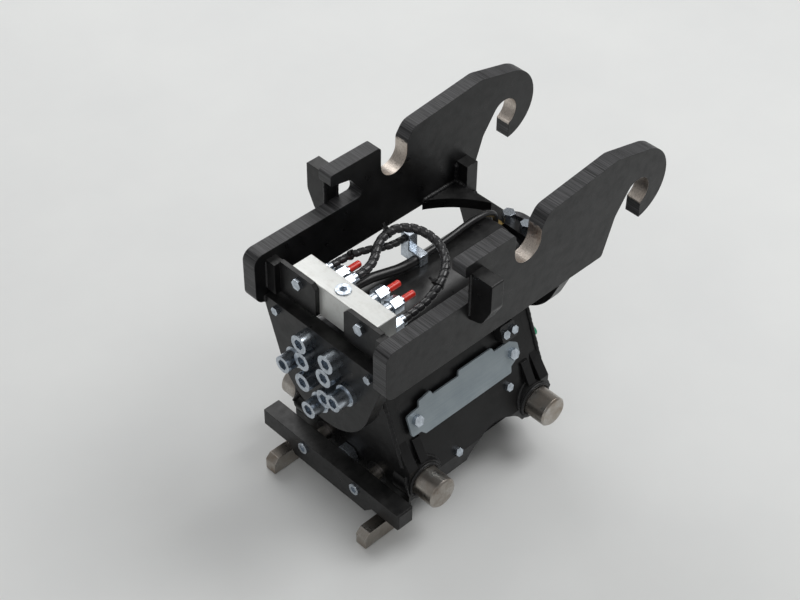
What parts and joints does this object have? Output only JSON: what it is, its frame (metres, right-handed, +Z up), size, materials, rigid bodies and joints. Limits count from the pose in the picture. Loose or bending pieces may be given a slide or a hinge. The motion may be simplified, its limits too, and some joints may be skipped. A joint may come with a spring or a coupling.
{
  "type": "tilting quick coupler",
  "caption": "Hydraulic tilting quick coupler for a small excavator: hooked side plates above, a rotary actuator between, and a lower frame with pins and a sliding lock beam.",
  "frame": {"origin": "middle of the footprint, on the ground under the lower frame", "axes": "+X along the tilt axis towards the hooks, +Y to the left side plate, +Z up"},
  "size_m": [0.4651, 0.294, 0.3987],
  "materials": {
    "black_paint": "satin",
    "black_housing": "satin",
    "bare_pin": "satin",
    "dark_steel": "satin",
    "zinc": "satin",
    "aluminium_block": "satin",
    "red_cap": "gloss",
    "green_cap": "gloss",
    "hose_black": "satin",
    "brass_fitting": "satin",
    "pale_cover": "satin",
    "clamp_black": "matte"
  },
  "bodies": {
    "lower_frame": {"lower_side_left": "black_paint", "lower_side_right": "black_paint", "lower_front_wall": "black_paint", "lower_rear_wall": "black_paint", "lower_belly": "black_paint", "lower_ribs": "black_paint", "actuator_housing": "black_housing", "lock_cylinder": "black_housing", "front_pins": "bare_pin", "rear_pins": "bare_pin", "support_lugs": "bare_pin", "front_gland": "dark_steel", "rear_gland": "dark_steel", "guide_tubes": "dark_steel", "rear_port": "dark_steel", "side_cover_left": "pale_cover", "side_cover_right": "pale_cover", "cover_screws": "zinc", "side_screws": "zinc", "clamp_bolts": "zinc", "hose_clamp": "clamp_black", "port_cap": "green_cap"},
    "tilt_head": {"side_plate_left": "black_paint", "side_plate_right": "black_paint", "slot_guards": "black_paint", "front_end_plate": "black_paint", "rear_end_plate": "black_paint", "rear_gussets": "black_paint", "bracket_left": "black_paint", "bracket_right": "black_paint", "actuator_shaft": "dark_steel", "shaft_collar": "dark_steel", "end_bolts": "zinc", "collar_screws": "zinc", "bracket_screws": "zinc", "valve_bodies": "zinc", "hose_fittings": "zinc", "rear_bolts": "zinc", "corner_screws": "zinc", "block_plug": "zinc", "feed_manifold": "zinc", "valve_block": "aluminium_block", "valve_caps": "red_cap", "loop_hose": "hose_black", "branch_hose": "hose_black", "feed_hose": "hose_black", "feed_tube": "hose_black", "feed_elbow": "brass_fitting"},
    "lock_beam": {"locking_beam": "black_paint", "beam_screws": "zinc", "lock_nut": "zinc", "guide_rods": "bare_pin", "lock_rod": "bare_pin"},
    "piston": {"piston_sleeve": "dark_steel"}
  },
  "joints": [
    {"name": "tilt", "type": "hinge", "parent": "lower_frame", "child": "tilt_head", "pos_m": [0, 0, 0.215], "axis": [1, 0, 0], "range_deg": [-45, 45]},
    {"name": "lock", "type": "slide", "parent": "lower_frame", "child": "lock_beam", "axis": [-1, 0, 0], "range_m": [0, 0.03]},
    {"name": "piston_travel", "type": "slide", "parent": "lower_frame", "child": "piston", "axis": [1, 0, 0], "range_m": [-0.05, 0.05]}
  ],
  "couplings": [
    {"joint": "piston_travel", "follows": "tilt", "m_per_rad": 0.055}
  ]
}
